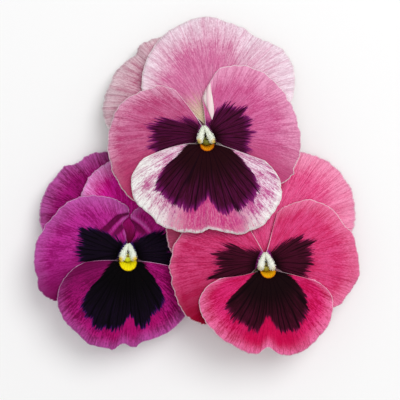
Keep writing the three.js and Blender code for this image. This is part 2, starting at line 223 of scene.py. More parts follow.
LEFT_PETALS = {
    "upper_back": {
        "bow": (10, -75),
        "margin": [
            (5, 29), (3, 37), (-3, 42.5), (-9.5, 43), (-15.5, 41.5), (-20, 38.5), (-25, 37), (-29, 32.5),
            (-33, 26), (-34.5, 20.5), (-34.5, 14.5), (-32.5, 8),
        ],
    },
    "upper_front": {
        "bow": (-75, -40),
        "margin": [
            (29, 10.5), (32, 18), (31, 26.5), (26, 34.5), (18, 40), (9, 43), (0.5, 42), (-6.5, 39),
            (-11, 36), (-14.5, 33), (-16.5, 29), (-19, 23),
        ],
    },
    "side_left": {
        "bow": (-4, -8),
        "inner_edge": [
            (5.1, -0.05), (6.2, -0.6), (9.2, -0.6), (11.2, -1.4), (13.4, -2.2), (14.4, -1.6), (16.4, 0.6),
            (18, 0.7),
        ],
        "rim_from": 13,
        "margin": [
            (0.7, 18), (0, 20), (-2.5, 22), (-7.5, 24), (-14, 25), (-20.5, 23.5), (-26.5, 20), (-31, 14.5),
            (-35, 8.5), (-37, 1), (-36, -6.5), (-34.5, -13), (-31, -16), (-27, -17), (-21, -16),
        ],
        "blotch": [
            (-1.5, 5.5), (-3.6, 7.6), (-6, 8.4), (-8.8, 10.6), (-11, 11.2), (-15.6, 11.2), (-18.8, 11.8),
            (-18.4, 8.4), (-19.4, 4.8), (-20.4, 2), (-19.6, 0.6), (-18.6, -1.6), (-15, -3),
        ],
        "creases": [
            {"line": [(0.6, 18), (-2, 17.6), (-4.6, 16.6), (-6.8, 14.5), (-8.6, 12.7), (-11, 11)],
             "folds": [(-0.6, 1.5, 0.5, 0.5, -0.25), (0.15, 0.2, 1.2, -1.2, 1.2)]},
            {"line": [(-4.4, 15.2), (-6.4, 13), (-8.6, 10.8)], "folds": [(0, 1.1, 1.6, -0.5, 1.1)]},
            {"line": [(0.6, 16.8), (-2.6, 14.6), (-5.2, 12.2), (-6.8, 9.8)],
             "folds": [(0, 0.7, 0.8, 0.6, -1.1)]},
            {"line": [(-1.4, 12.8), (-3.2, 11.2), (-5, 9)], "folds": [(0, 1.1, 1.5, -0.6, 1.3)]},
            {"line": [(-1, 11.4), (-1, 9), (-0.5, 6.6)], "folds": [(0, 0.6, 0.6, 0.4, -1.0)]},
        ],
    },
    "side_right": {
        "bow": (-6, 0),
        "margin": [
            (21, -14.5), (27, -15), (31.5, -11), (34.5, -4), (35, 4), (33, 12), (29, 18.5), (23, 23),
            (16.5, 25), (10, 23.5), (4.8, 20.4), (2.2, 18), (1.2, 16.6),
        ],
        "inner_edge": [(5.1, 0.65), (6.6, 1.8), (8.6, 2.9), (11, 3.4), (13, 2.8), (14.8, 1.4), (16.6, 1.2)],
        "rim_from": 15.6,
        "blotch": [
            (17, -5), (18.6, 0), (18, 5), (17, 10.2), (14, 10.8), (11.2, 10.6), (9.2, 9.8), (6, 8.4),
            (3, 7.4), (1.4, 6),
        ],
        "creases": [
            {"line": [(1.2, 15.4), (3.6, 13.8), (6, 11.8), (8, 9.8)],
             "folds": [(-0.9, 1.1, 0.6, 0.6, -1.0), (0.5, 0.5, 2.8, -1.2, 1.1)]},
            {"line": [(6.5, 16.5), (8.6, 14), (10, 11.5)], "folds": [(0, 0.8, 0.8, -0.5, 0.35)]},
        ],
    },
    "lower": {
        "bow": (8, 8),
        "margin": [
            (-17, -1.7), (-21, -3.8), (-24, -6.8), (-26.4, -10.4), (-27.8, -15), (-27, -20), (-24.5, -25),
            (-20, -29.5), (-16, -34), (-9.5, -36), (-5, -36), (-2, -34), (2.5, -35.5), (6.5, -33.5),
            (13, -31.5), (19, -28), (24, -22), (27, -16), (26, -10), (22.5, -5),
        ],
        "blotch": [
            (-6.8, -2), (-8.8, -4.8), (-11.2, -8), (-14, -10.8), (-16.4, -14), (-18, -16.8), (-18, -20.8),
            (-16.4, -22.8), (-14, -24), (-13.6, -26.8), (-12, -28.4), (-8.8, -28.4), (-3.6, -28.8),
            (-1.2, -26), (0.8, -22.4), (2.4, -24.8), (3.2, -27.6), (5.2, -27.6), (8.8, -25.6), (9.6, -22.8),
            (12.8, -21), (14.2, -19), (14.8, -16.8), (13.4, -13.8), (12, -10.8), (10, -7.6), (8, -4.8),
            (6.8, -2.4),
        ],
    },
}

RIGHT_PETALS = {
    "upper_back": {
        "bow": (10, -75),
        "margin": [
            (7.5, 30), (2.5, 40), (-6.5, 44.5), (-16.5, 44), (-26.5, 39), (-34.5, 30.5), (-38.2, 20.5),
            (-38.6, 13.5), (-37.4, 8), (-34, 3),
        ],
    },
    "upper_front": {
        "bow": (-75, 30),
        "margin": [
            (34.5, 10.5), (37.5, 17.5), (38.2, 23.5), (37, 30), (34, 36), (29, 41.5), (22.5, 44.5),
            (14, 46.5), (3.5, 45), (-4.5, 39), (-9, 30),
        ],
    },
    "side_left": {
        "bow": (0, -8),
        "margin": [
            (-9, 19.5), (-16.5, 21), (-24.5, 19), (-32, 14), (-36, 8), (-37.5, 1.5), (-37, -5),
            (-35, -12.5), (-31, -19), (-26.5, -22), (-21.5, -22.5),
        ],
        "blotch": [
            (-2.5, 6.8), (-6.4, 7), (-9.4, 7), (-13.6, 9.4), (-14.6, 7), (-17.2, 8.6), (-21.4, 5.2),
            (-18.8, 3.4), (-21.6, 1.6), (-17.8, -0.2), (-24, -4.8), (-16, -4.4),
        ],
    },
    "side_right": {
        "bow": (-6, 0),
        "margin": [
            (21, -15), (26.5, -16.5), (30, -15), (33, -12), (37, -7), (38.5, -1), (37.5, 6.5), (35.5, 13),
            (32, 17), (28, 22), (23.5, 25), (18.5, 26.5), (13, 25.5), (7.5, 23.5), (4.5, 21),
        ],
        "blotch": [
            (15.6, -4), (17.2, -0.8), (19.6, 1.2), (18, 4), (17.6, 8), (20, 10.4), (14.8, 10.4), (13.6, 12),
            (10.4, 11.6), (7.6, 10.4), (5.6, 9.2), (3.6, 7.6), (1.6, 6.4),
        ],
    },
    "lower": {
        "bow": (-12, 0),
        "margin": [
            (-16.6, -3.9), (-21, -5.6), (-24.6, -8.6), (-26.4, -13.6), (-25, -19.5), (-20.5, -25.5),
            (-14.5, -30), (-9, -33), (-4, -34), (0.2, -31.5), (5, -34), (10, -35), (15, -33), (20.5, -28.5),
            (25.5, -21.5), (26.9, -14.4), (24.2, -8.9), (18.8, -5.3),
        ],
        "blotch": [
            (-5.6, -2.8), (-8, -5.6), (-11.2, -8.4), (-14.4, -11.6), (-16.8, -14.8), (-15.6, -17.2),
            (-14.4, -19.2), (-12, -21.2), (-8.4, -22.8), (-7.2, -24.8), (-4, -25.6), (-2, -22.8),
            (0, -19.6), (1.8, -20.8), (3.4, -23.6), (5.8, -25.6), (11.8, -25.2), (13.6, -22), (16, -19.2),
            (16.8, -14.4), (15, -11.2), (13, -7.6), (9.2, -3.6),
        ],
    },
}

BLOOMS = {
    "top": {
        "throat_height": 20,
        "stem": {"heading": 90, "bend": 11, "run": 14},
        "lean": (-6, 0),
        "apex": (-0.9, 5.5),
        "eye": {"middle": (0.3, -1.5), "radius": 2.8},
        "petals": TOP_PETALS,
    },
    "left": {
        "throat_height": 13,
        "stem": {"heading": -45, "bend": 5, "run": 17},
        "lean": (-3, 7),
        "apex": (0.3, 5.3),
        "eye": {"middle": (0.2, -1.9), "radius": 3.4},
        "petals": LEFT_PETALS,
    },
    "right": {
        "throat_height": 18.15,
        "stem": {"heading": -135, "bend": 7, "run": 15},
        "lean": (-3, 6),
        "apex": (-0.5, 5.5),
        "eye": {"middle": (0.7, -1.4), "radius": 3.0},
        "petals": RIGHT_PETALS,
    },
}

# ---- colours ------------------------------------------------------------------------------------


def tones(body, deep, pale, pale_reach, **more):
    """A petal's colours: its two streaks, body and deep, and its pale outer zone."""
    return {"body": body, "deep": deep, "pale": pale, "pale_reach": pale_reach, **more}


# Colours are 0 to 255 on screen, and reaches and widths are millimetres.
# fringe: the blotch's edge. blotch_streaks: how much of it shows between the blotch's veins. halo: round the
# beards. streak_softness: how softly the petals' streaks run together. crease: painted shade in the hollows
# of a crumpled petal's creases; their ridges get the pale colour as painted highlight.
# pale_reach: the pale zone's width at the petal's first and last edge. speckle: how much the streaks break it
# up. base: close to the throat. dusk: painted shade, darker where that end of the petal turns away from the
# light; it comes in across the petal between the shares dusk_spread.
# stripe: down the lower petal's middle, stripe_width degrees to a side, and gone stripe_end from the margin.
PINK = {
    "blotch": (60, 8, 33), "blotch_heart": (36, 6, 14), "fringe": (128, 24, 108), "fringe_width": 2.6,
    "streak_softness": 0.09, "blotch_streaks": 0.2, "vein": (22, 2, 14), "rim": (247, 226, 232),
    "eye": (252, 164, 14), "eye_edge": (218, 96, 8), "back": (238, 226, 222), "crease": (150, 50, 100),
    "throat": (150, 132, 36), "halo": (140, 40, 122), "beard": (220, 226, 204),
    "beard_foot": (226, 196, 96), "stigma": (126, 128, 34), "stigma_streaks": (104, 108, 26),
    "hole": (62, 54, 12),
    "petals": {
        "upper_back": tones((196, 120, 152), (178, 78, 118), (220, 200, 206), (7, 14), base=(236, 214, 214),
                            base_reach=8, speckle=3.2),
        "upper_front": tones((213, 130, 170), (200, 96, 146), (242, 232, 240), (25, 5),
                             base=(216, 204, 166), base_reach=17),
        "side_left": tones((202, 106, 150), (182, 62, 114), (230, 172, 200), (8, 2), speckle=4.0,
                           dusk=(180, 50, 100), dusk_spread=(0.6, 0.9)),
        "side_right": tones((210, 110, 160), (194, 76, 132), (230, 164, 196), (9, 9), dusk=(184, 70, 118),
                            dusk_spread=(0.4, 0.08)),
        "lower": tones((240, 222, 234), (190, 72, 142), (246, 252, 244), (17, 1), stripe=(202, 52, 126),
                       stripe_width=25, stripe_end=1.5, speckle=5.0, fringe_width=3.4),
    },
}
MAGENTA = {
    "blotch": (13, 6, 16), "blotch_heart": (4, 2, 4), "fringe": (60, 16, 92), "fringe_width": 1.4,
    "streak_softness": 0.06, "blotch_streaks": 0.06, "vein": (2, 1, 3), "rim": (220, 160, 206),
    "eye": (255, 240, 16), "eye_edge": (244, 206, 8), "back": (186, 96, 160), "crease": (92, 8, 56),
    "throat": (216, 190, 60), "halo": (70, 40, 120), "beard": (222, 232, 212), "beard_foot": (246, 214, 20),
    "stigma": (214, 224, 24), "stigma_streaks": (196, 208, 20), "hole": (160, 92, 40),
    "petals": {
        "upper_back": tones((160, 18, 116), (116, 4, 72), (186, 92, 166), (7, 2.5), base=(104, 4, 66),
                            base_reach=27, speckle=4.0),
        "upper_front": tones((220, 34, 166), (190, 6, 120), (226, 158, 216), (5, 5.5), base=(100, 10, 50),
                             base_reach=17, speckle=4.0),
        "side_left": tones((184, 42, 144), (146, 14, 102), (190, 92, 172), (9, 3), dusk=(116, 10, 76),
                           dusk_spread=(0.6, 0.9)),
        "side_right": tones((202, 42, 154), (162, 18, 110), (196, 98, 178), (3, 5)),
        "lower": tones((178, 24, 124), (118, 2, 72), (184, 84, 164), (4, 5), dusk=(106, 10, 70),
                       dusk_spread=(0.42, 0.05), stripe=(170, 10, 98), stripe_width=26, stripe_end=8),
    },
}
ROSE = {
    "blotch": (52, 8, 24), "blotch_heart": (22, 5, 9), "fringe": (112, 18, 66), "fringe_width": 1.8,
    "streak_softness": 0.07, "blotch_streaks": 0.2, "vein": (14, 2, 8), "rim": (248, 208, 222),
    "eye": (255, 188, 14), "eye_edge": (240, 136, 10), "back": (226, 140, 170), "crease": (150, 20, 60),
    "throat": (176, 140, 40), "halo": (190, 46, 164), "beard": (228, 228, 214),
    "beard_foot": (232, 222, 190), "stigma": (168, 156, 34), "stigma_streaks": (140, 132, 28),
    "hole": (70, 14, 14),
    "petals": {
        "upper_back": tones((188, 52, 100), (168, 32, 76), (206, 92, 134), (5, 5), base=(206, 50, 104),
                            base_reach=4),
        "upper_front": tones((230, 96, 150), (214, 58, 118), (242, 162, 194), (12, 7), base=(206, 40, 98),
                             base_reach=10),
        "side_left": tones((210, 68, 124), (184, 30, 84), (222, 104, 148), (5, 1), dusk=(140, 0, 36),
                           dusk_spread=(0.55, 0.88)),
        "side_right": tones((216, 70, 128), (200, 38, 94), (232, 124, 166), (7, 7)),
        "lower": tones((220, 44, 118), (186, 6, 70), (240, 128, 178), (5, 5), speckle=3.4,
                       stripe=(198, 6, 72), stripe_width=24, stripe_end=6),
    },
}
COLOURING = {"top": PINK, "left": MAGENTA, "right": ROSE}
# How far from the throat a blotch is at its darkest, and how far out the throat's own colour shows.
HEART_REACH = {"side_left": 7, "side_right": 7, "lower": 20}
THROAT_REACH = {"upper_back": 3.4, "upper_front": 3.4, "side_left": 3.4, "side_right": 3.4, "lower": 1.7}
HAIR_TIPS = (246, 248, 240)
STEM_GREEN = [(124, 156, 70), (86, 126, 48), (206, 214, 168)]  # its streaks' two tones and its cut end
ANTHER_TAN = [(214, 178, 96), (190, 148, 70)]  # its streaks' two tones


def paint(red, green, blue):
    """A colour given as 0 to 255 on screen, as the shader wants it."""
    channels = [value / 255 for value in (red, green, blue)]
    linear = [c / 12.92 if c <= 0.04045 else ((c + 0.055) / 1.055) ** 2.4 for c in channels]
    return (*linear, 1.0)


# ---- building a finish --------------------------------------------------------------------------


class Finish:
    """A procedural material. Each call adds one node or a few and hands back the socket that comes out."""

    def __init__(self, name, roughness=0.6):
        self.material = bpy.data.materials.new(name)
        self.material.use_nodes = True
        self.tree = self.material.node_tree
        self.surface = self.tree.nodes["Principled BSDF"]
        self.surface.inputs["Roughness"].default_value = roughness

    def add(self, kind, inputs, out=0, **settings):
        node = self.tree.nodes.new(kind)
        for name, value in settings.items():
            setattr(node, name, value)
        for key, value in inputs.items():
            self.feed(node.inputs[key], value)
        return node.outputs[out]

    def feed(self, socket, value):
        if isinstance(value, bpy.types.NodeSocket):
            self.tree.links.new(value, socket)
        else:
            socket.default_value = value

    def attribute(self, name, out="Vector"):
        return self.add("ShaderNodeAttribute", {}, out, attribute_name=name)

    def parts(self, vector):
        return self.add("ShaderNodeSeparateXYZ", {0: vector}).node.outputs

    def math(self, operation, first, second=0.0, third=0.0):
        return self.add("ShaderNodeMath", {0: first, 1: second, 2: third}, operation=operation)

    def vector_math(self, operation, first, second):
        return self.add("ShaderNodeVectorMath", {0: first, 1: second}, operation=operation)

    def step(self, value, low, high):
        """0 below low and 1 above high, smooth between."""
        inputs = {"Value": value, "From Min": low, "From Max": high}
        return self.add("ShaderNodeMapRange", inputs, interpolation_type="SMOOTHSTEP")

    def ragged(self, value, noise, amount):
        """The value, moved up and down by a noise, by up to half the amount."""
        return self.math("MULTIPLY_ADD", self.math("SUBTRACT", noise, 0.5), amount, value)

    def mix(self, share, first, second, blend="MIX"):
        """first and second are sockets, or colours on screen."""
        first, second = (paint(*value) if isinstance(value, tuple) else value for value in (first, second))
        inputs = {"Factor": share, 6: first, 7: second}
        return self.add("ShaderNodeMix", inputs, 2, data_type="RGBA", blend_type=blend)

    def cover(self, body, share, strength, colour):
        """Lays a colour over the body, at that strength where the share is 1."""
        return self.mix(self.math("MULTIPLY", share, strength), body, colour)

    def noise(self, vector, scale=1.0, detail=2.0, roughness=0.5):
        inputs = {"Vector": vector, "Scale": scale, "Detail": detail, "Roughness": roughness}
        return self.add("ShaderNodeTexNoise", inputs)

    def streaks(self, veins, across, along, detail=2.0, roughness=0.5):
        """Noise that is drawn out along the veins."""
        drawn_out = self.vector_math("MULTIPLY", veins, (across, along, 1.0))
        return self.noise(drawn_out, detail=detail, roughness=roughness)

    def grain(self, roughness=0.5):
        """The fine grain of the cells."""
        place = self.add("ShaderNodeTexCoord", {}, "Object")
        return self.noise(place, scale=2600.0, roughness=roughness)

    def vein_lines(self, veins, width=1.0):
        """The petal's veins, which sway a little and fork about halfway to the margin."""
        sway = self.streaks(veins, 0.1, 0.025)
        sway = self.math("MULTIPLY", self.math("SUBTRACT", sway, 0.5), 1.6)
        across, along, _ = self.parts(veins)
        place = self.math("MULTIPLY_ADD", across, 0.15, sway)
        from_vein = self.math("PINGPONG", place, 0.5)
        from_fork = self.math("PINGPONG", self.math("ADD", place, 0.5), 0.5)
        from_fork = self.math("MULTIPLY_ADD", self.step(along, 12.0, 5.0), 0.3, from_fork)
        forks = self.step(from_fork, 0.07 * width, 0.0)
        return self.math("MAXIMUM", self.step(from_vein, 0.1 * width, 0.01), forks)

    def bump(self, height, distance, strength=1.0):
        inputs = {"Height": height, "Distance": distance, "Strength": strength}
        self.feed(self.surface.inputs["Normal"], self.add("ShaderNodeBump", inputs))

    def colour(self, value):
        self.feed(self.surface.inputs["Base Color"], value)


class Velvet(Finish):
    """A petal's face. shared holds the colours of the whole bloom, and own those of the petal."""

    def __init__(self, name, kind, shared, own, seed):
        super().__init__(name, 0.7)
        self.surface.inputs["Specular IOR Level"].default_value = 0.04
        self.kind = kind
        self.shared = shared
        self.own = own

        veins = self.attribute("veins")
        self.across = self.parts(veins)[0]
        veins = self.vector_math("ADD", veins, (seed * 37.0, 0.0, seed * 5.0))
        self.margin, self.blotch, self.eye = self.parts(self.attribute("zones"))
        self.throat = self.attribute("throat", "Fac")

        self.fine = self.streaks(veins, 1.5, 0.09, detail=3.0, roughness=0.6)
        self.broad = self.streaks(veins, 0.32, 0.035)
        self.hairline = self.streaks(veins, 3.0, 0.24, roughness=0.6)
        self.mottle = self.streaks(veins, 2.2, 0.8, detail=4.0, roughness=0.75)
        self.clump = self.streaks(veins, 0.22, 0.16)
        streak = self.math("MULTIPLY_ADD", self.mottle, 0.45, self.math("MULTIPLY", self.fine, 0.3))
        self.streak = self.math("MULTIPLY_ADD", self.hairline, 0.25, streak)
        self.sharp = self.step(self.streak, 0.44, 0.56)
        lines = self.vein_lines(veins)
        self.vein = self.math("MULTIPLY", lines, self.step(self.mottle, 0.2, 0.5))

        body = self.streaked()
        # Painted shade darkens the end of some petals that turns away from the light.
        if "dusk" in own:
            body = self.with_dusk(body)
        if "stripe" in own:
            body = self.with_stripe(body)
        body = self.with_base_and_crease_shade(body)
        body = self.cover(body, lines, 0.25, own["deep"])
        if not kind.startswith("upper"):
            body = self.with_blotch_and_eye(body)
        self.colour_and_relief(self.with_throat_and_rim(body))

    def streaked(self):
        """The petal's streaks, with its pale outer zone."""
        own = self.own
        tone = self.ragged(self.ragged(self.streak, self.clump, 0.25), self.broad, 0.15)
        softness = self.shared["streak_softness"]
        body = self.mix(self.step(tone, 0.5 - softness, 0.5 + softness), own["deep"], own["body"])
        first, last = own["pale_reach"]
        reach = self.math("MULTIPLY_ADD", self.across, (last - first) / VEIN_SPAN, first)
        outer = self.ragged(self.math("DIVIDE", self.margin, reach), tone, -own.get("speckle", 2.4))
        share = self.math("MULTIPLY", self.step(outer, 1.3, -0.4), self.step(self.throat, 10.0, 20.0))
        return self.cover(body, share, 0.85, own["pale"])

    # Painted shade: the petal darkens across, towards the end that turns away from the light.
    def with_dusk(self, body):
        first, last = self.own["dusk_spread"]
        place = self.ragged(self.across, self.streak, 30.0)
        return self.mix(self.step(place, first * VEIN_SPAN, last * VEIN_SPAN), body, self.own["dusk"])

    def with_stripe(self, body):
        end = self.own["stripe_end"]
        stripe = self.step(self.ragged(self.attribute("stripe", "Fac"), self.streak, 3.2), 0.1, 0.7)
        before_end = self.step(self.ragged(self.margin, self.streak, 12.0), 0.2 * end, end)
        share = self.math("MULTIPLY", stripe, before_end)
        share = self.math("MULTIPLY", share, self.math("MULTIPLY_ADD", self.sharp, -0.18, 1.0))
        return self.mix(share, body, self.own["stripe"])

    def with_base_and_crease_shade(self, body):
        if "base" in self.own:
            inner = self.ragged(self.math("DIVIDE", self.throat, self.own["base_reach"]), self.fine, 0.9)
            body = self.mix(self.step(inner, 1.3, 0.4), body, self.own["base"])
        # Painted shade in the creases' hollows, and painted highlight in the pale colour on their ridges.
        shade = self.math("MULTIPLY_ADD", self.streak, 4.0, -1.0)
        shade = self.math("MULTIPLY", self.attribute("crease", "Fac"), shade)
        body = self.cover(body, self.step(shade, 0.0, -0.9), 0.6, self.own["pale"])
        return self.cover(body, self.step(shade, 0.0, 0.8), 0.9, self.shared["crease"])

    def with_blotch_and_eye(self, body):
        """A dark blotch whose edge runs out and in along the veins, and the eye, yellow to orange."""
        shared = self.shared
        on_side_petal = self.kind.startswith("side")
        depth = self.ragged(self.blotch, self.fine, 13.0 if on_side_petal else 8.0)
        depth = self.ragged(self.ragged(depth, self.hairline, 3.5), self.broad, 3.0)
        fringe_width = self.own.get("fringe_width", shared["fringe_width"])
        dark = self.mix(self.step(depth, 0.0, fringe_width), shared["fringe"], shared["blotch"])
        between_veins = self.step(self.math("ADD", self.fine, self.hairline), 0.92, 1.12)
        dark = self.cover(dark, between_veins, shared["blotch_streaks"], shared["fringe"])
        heart = self.ragged(self.throat, self.fine, 8.0)
        reach = HEART_REACH[self.kind]
        dark = self.mix(self.step(heart, reach * 1.3, reach * 0.5), dark, shared["blotch_heart"])
        dark = self.cover(dark, self.vein, 0.9, shared["vein"])
        body = self.mix(self.step(depth, -0.3, 0.4), body, dark)
        if on_side_petal:
            halo = self.ragged(self.attribute("beard_gap", "Fac"), self.hairline, 1.5)
            body = self.cover(body, self.step(halo, 2.0, 1.2), 0.8, shared["halo"])
        spot = self.ragged(self.eye, self.hairline, 0.9)
        yellow = self.mix(self.step(spot, 0.0, 0.8), shared["eye_edge"], shared["eye"])
        yellow = self.mix(self.step(self.throat, 2.1, 1.2), yellow, shared["throat"])
        return self.mix(self.step(spot, -0.1, 0.2), body, yellow)

    def with_throat_and_rim(self, body):
        reach = THROAT_REACH[self.kind]
        body = self.mix(self.step(self.throat, reach, reach - 0.8), body, self.shared["throat"])
        line = self.ragged(self.attribute("edge", "Fac"), self.mottle, 0.9)
        line = self.math("MULTIPLY", self.step(line, 0.45, 0.1), self.step(self.throat, 1.5, 10.0))
        return self.cover(body, line, 0.8, self.shared["rim"])

    def colour_and_relief(self, body):
        grain = self.grain(roughness=0.6)
        light = self.math("MULTIPLY_ADD", self.sharp, 0.14, 0.93)
        light = self.math("MULTIPLY", light, self.math("MULTIPLY_ADD", grain, 0.5, 0.75))
        self.colour(self.mix(1.0, body, light, "MULTIPLY"))
        relief = self.math("MULTIPLY_ADD", grain, 0.25, self.math("MULTIPLY", self.streak, 1.2))
        relief = self.math("SUBTRACT", relief, self.math("MULTIPLY", self.vein, 0.5))
        self.bump(relief, 0.0003, 0.8)


def petal_back(name, colour, deep):
    """The paler, duller underside, with its veins standing out."""
    finish = Finish(name, 0.75)
    veins = finish.attribute("veins")
    fine = finish.streaks(veins, 1.4, 0.08, detail=3.0)
    clump = finish.streaks(veins, 0.3, 0.1)
    lines = finish.vein_lines(veins, width=1.4)
    shade = finish.math("MULTIPLY", finish.math("ADD", fine, clump), 0.5)
    body = finish.cover(colour, finish.step(shade, 0.35, 0.65), 0.35, deep)
    finish.colour(finish.cover(body, lines, 0.4, deep))
    finish.bump(finish.math("MULTIPLY_ADD", fine, 0.6, lines), 0.0003, 0.7)
    return finish.material


def plant_tissue(name, colour, streaks, tint, roughness=0.55):
    """Tissue that is streaked along its length, and takes another colour where it is tinted."""
    finish = Finish(name, roughness)
    lengthwise = finish.vector_math("MULTIPLY", finish.attribute("fibres"), (2.2, 2.2, 0.25))
    fibre = finish.noise(lengthwise, detail=3.0, roughness=0.6)
    grain = finish.grain()
    body = finish.mix(finish.step(fibre, 0.38, 0.62), colour, streaks)
    body = finish.mix(finish.attribute("tint", "Fac"), body, tint)
    finish.colour(finish.mix(1.0, body, finish.math("MULTIPLY_ADD", grain, 0.4, 0.8), "MULTIPLY"))
    finish.bump(finish.math("MULTIPLY_ADD", grain, 0.5, fibre), 0.0001, 0.7)
    return finish.material


# ---- petals -------------------------------------------------------------------------------------


def spline(points, share):
    """Points at share, 0 to 1, along a smooth curve through the given points."""
    points = np.array(points, float)
    last = len(points) - 1
    place = np.clip(share, 0, 1) * last
    start = np.minimum(place.astype(int), last - 1)
    t = (place - start)[:, None]
    before, near = points[np.maximum(start - 1, 0)], points[start]
    far, after = points[start + 1], points[np.minimum(start + 2, last)]
    leave, arrive = (far - before) / 2, (after - near) / 2
    cubic = 2 * near - 2 * far + leave + arrive
    square = -3 * near + 3 * far - 2 * leave - arrive
    return cubic * t**3 + square * t**2 + leave * t + near


def wander(place, spacing, seed):
    """A smooth random line, -1 to 1, with a turn about every spacing."""
    knots = np.random.RandomState(seed).uniform(-1, 1, int(np.max(place) / spacing) + 4)
    place = place / spacing
    start = place.astype(int)
    t = place - start
    t = t * t * (3 - 2 * t)
    return knots[start] * (1 - t) + knots[start + 1] * t


def petal_lip(bloom, kind):
    """The two ends of a petal's foot at the lip of the throat. A side petal's upper end is at the apex."""
    lip = list(CLAWS[kind]["lip"])
    apex_x, apex_y = bloom["apex"]
    beside, below = APEX_GAP
    if kind == "side_left":
        lip[0] = (apex_x - beside, apex_y - below)
    if kind == "side_right":
        lip[1] = (apex_x + beside, apex_y - below)
    return np.array(lip, float)


def petal_rays(petal, lip, across, along, margin_shift=0.0):
    """Where the veins of a petal run in the bloom's plane, and how long they are."""
    start = lip[0] + (lip[1] - lip[0]) * across[:, None]
    end = spline(petal["margin"], across)
    reach = end - start
    length = np.linalg.norm(reach, axis=1)
    reach = reach * (1 + margin_shift / length)[:, None]
    end = start + reach
    bend = np.radians(petal["bow"][1]) * across**3 - np.radians(petal["bow"][0]) * (1 - across) ** 3
    first = 0.5 / (1 + np.abs(bend) / np.radians(60))
    turned = np.stack([reach[:, 0] * np.cos(bend) - reach[:, 1] * np.sin(bend),
                       reach[:, 0] * np.sin(bend) + reach[:, 1] * np.cos(bend)], axis=1)
    knee = start + turned * first[:, None]
    t = along[:, None]
    return start * (1 - t) ** 2 + knee * 2 * t * (1 - t) + end * t**2, length


def vein_spread(petal, lip, across, along):
    """How far apart the veins stand, from 0 where they crowd together to 1."""
    before, after = (petal_rays(petal, lip, across + step, along)[0] for step in (-VEIN_STEP, VEIN_STEP))
    return np.clip(np.hypot(*(after - before).T) / (2 * VEIN_STEP * VEIN_SPAN), 0, 1)


def face_height(layer, distance):
    opening = 1 - np.exp(-((distance / THROAT_RADIUS) ** THROAT_POWER))
    return layer["face"] * opening - layer["fall"] * (1 - opening) - DROOP * distance**2


def blotch_depth(petal, flat):
    """How far inside the blotch a point is, measured along its line from the throat."""
    if "blotch" not in petal:
        return np.full(len(flat), NO_BLOTCH)
    outline = np.array(petal["blotch"], float)
    middle = np.arctan2(*outline.mean(axis=0)[::-1])

    def heading(points):
        return (np.arctan2(points[:, 1], points[:, 0]) - middle + math.pi) % (2 * math.pi) - math.pi

    order = np.argsort(heading(outline))
    reach = np.interp(heading(flat), heading(outline)[order], np.hypot(*outline.T)[order])
    return reach - np.hypot(*flat.T)


def pull_back(inner_edge, flat, inner_ray):
    """Pulls the inner edge of a crumpled petal back to the given line. It has its x at some heights y."""
    heights, wanted = np.array(inner_edge, float).T
    order = np.argsort(inner_ray[:, 1])
    edge_x = np.interp(flat[:, 1], inner_ray[order, 1], inner_ray[order, 0])
    inside = (flat[:, 1] > heights[0]) & (flat[:, 1] < heights[-1])
    pull = np.where(inside, np.interp(flat[:, 1], heights, wanted) - edge_x, 0)
    flat[:, 0] += pull * np.exp(-np.abs(flat[:, 0] - edge_x) / 4)


def crease_folds(petal, flat):
    """How high the creases of a crumpled petal stand at each point, and their painted shade (over 0) and
    painted highlight (under 0).

    A fold has its distance from the crease, towards the throat, its widths on its outer and inner side, its
    height and its darkness, which is painted shade over 0 and painted highlight under 0.
    """
    height = np.zeros(len(flat))
    shade = np.zeros(len(flat))
    for crease in petal.get("creases", []):
        share = np.linspace(0, 1, 50)
        line = spline(crease["line"], share)
        run = np.gradient(line, axis=0)
        normal = np.stack([-run[:, 1], run[:, 0]], axis=1) / np.linalg.norm(run, axis=1)[:, None]
        normal *= -np.sign((normal * line).sum(axis=1))[:, None]  # towards the throat
        gap = flat[:, None, :] - line[None]
        nearest = (gap**2).sum(axis=2).argmin(axis=1)
        gap = gap[np.arange(len(flat)), nearest]
        beside = (gap * normal[nearest]).sum(axis=1)
        past_end = (gap**2).sum(axis=1) - beside**2
        fade = (1 - 0.45 * share[nearest] ** 2) * np.exp(-np.clip(past_end, 0, None) / 3)
        beside = beside + 0.35 * wander(np.hypot(*flat.T), 2.5, 7)
        for offset, width_out, width_in, rise, painted_light_and_shade in crease["folds"]:
            width = np.where(beside < offset, width_out, width_in)
            fold = np.exp(-(((beside - offset) / width) ** 2)) * fade
            height += rise * fold
            shade += painted_light_and_shade * fold
    return height, shade


def open_mesh(vectors, numbers):
    bm = bmesh.new()
    for name in vectors:
        bm.verts.layers.float_vector.new(name)
    for name in numbers:
        bm.verts.layers.float.new(name)
    return bm


def grid_sheet(bm, across, along):
    """A sheet of faces. Gives its verts and where each is, 0 to 1 across and along the sheet."""
    verts = bmesh.ops.create_grid(bm, x_segments=across, y_segments=along, size=1)["verts"]
    return verts, (np.array([vert.co[:2] for vert in verts]) + 1) / 2


def shape(bm, verts, points, **values):
    """Moves the verts to the points and gives them their values, which are named as the mesh's layers are."""
    for vert, point in zip(verts, points):
        vert.co = point
    for name, column in values.items():
        layer = bm.verts.layers.float_vector.get(name) or bm.verts.layers.float.get(name)
        if layer:
            for vert, value in zip(verts, column):
                vert[layer] = value


def weld(bm, verts, distance):
    """Joins verts that are closer than that. Gives the verts that are left and the faces on them."""
    bmesh.ops.remove_doubles(bm, verts=verts, dist=distance)
    verts = [vert for vert in verts if vert.is_valid]
    return verts, list(dict.fromkeys(face for vert in verts for face in vert.link_faces))


def smooth(faces):
    for face in faces:
        face.smooth = True


def face_up(bm, faces):
    """The faces of an open sheet all look to the same side, upwards."""
    bmesh.ops.recalc_face_normals(bm, faces=faces)
    if sum(f.normal.z * f.calc_area() for f in faces) < 0:
        bmesh.ops.reverse_faces(bm, faces=faces)
    smooth(faces)


def show_underside(faces):
    for face in faces:
        face.material_index = 1


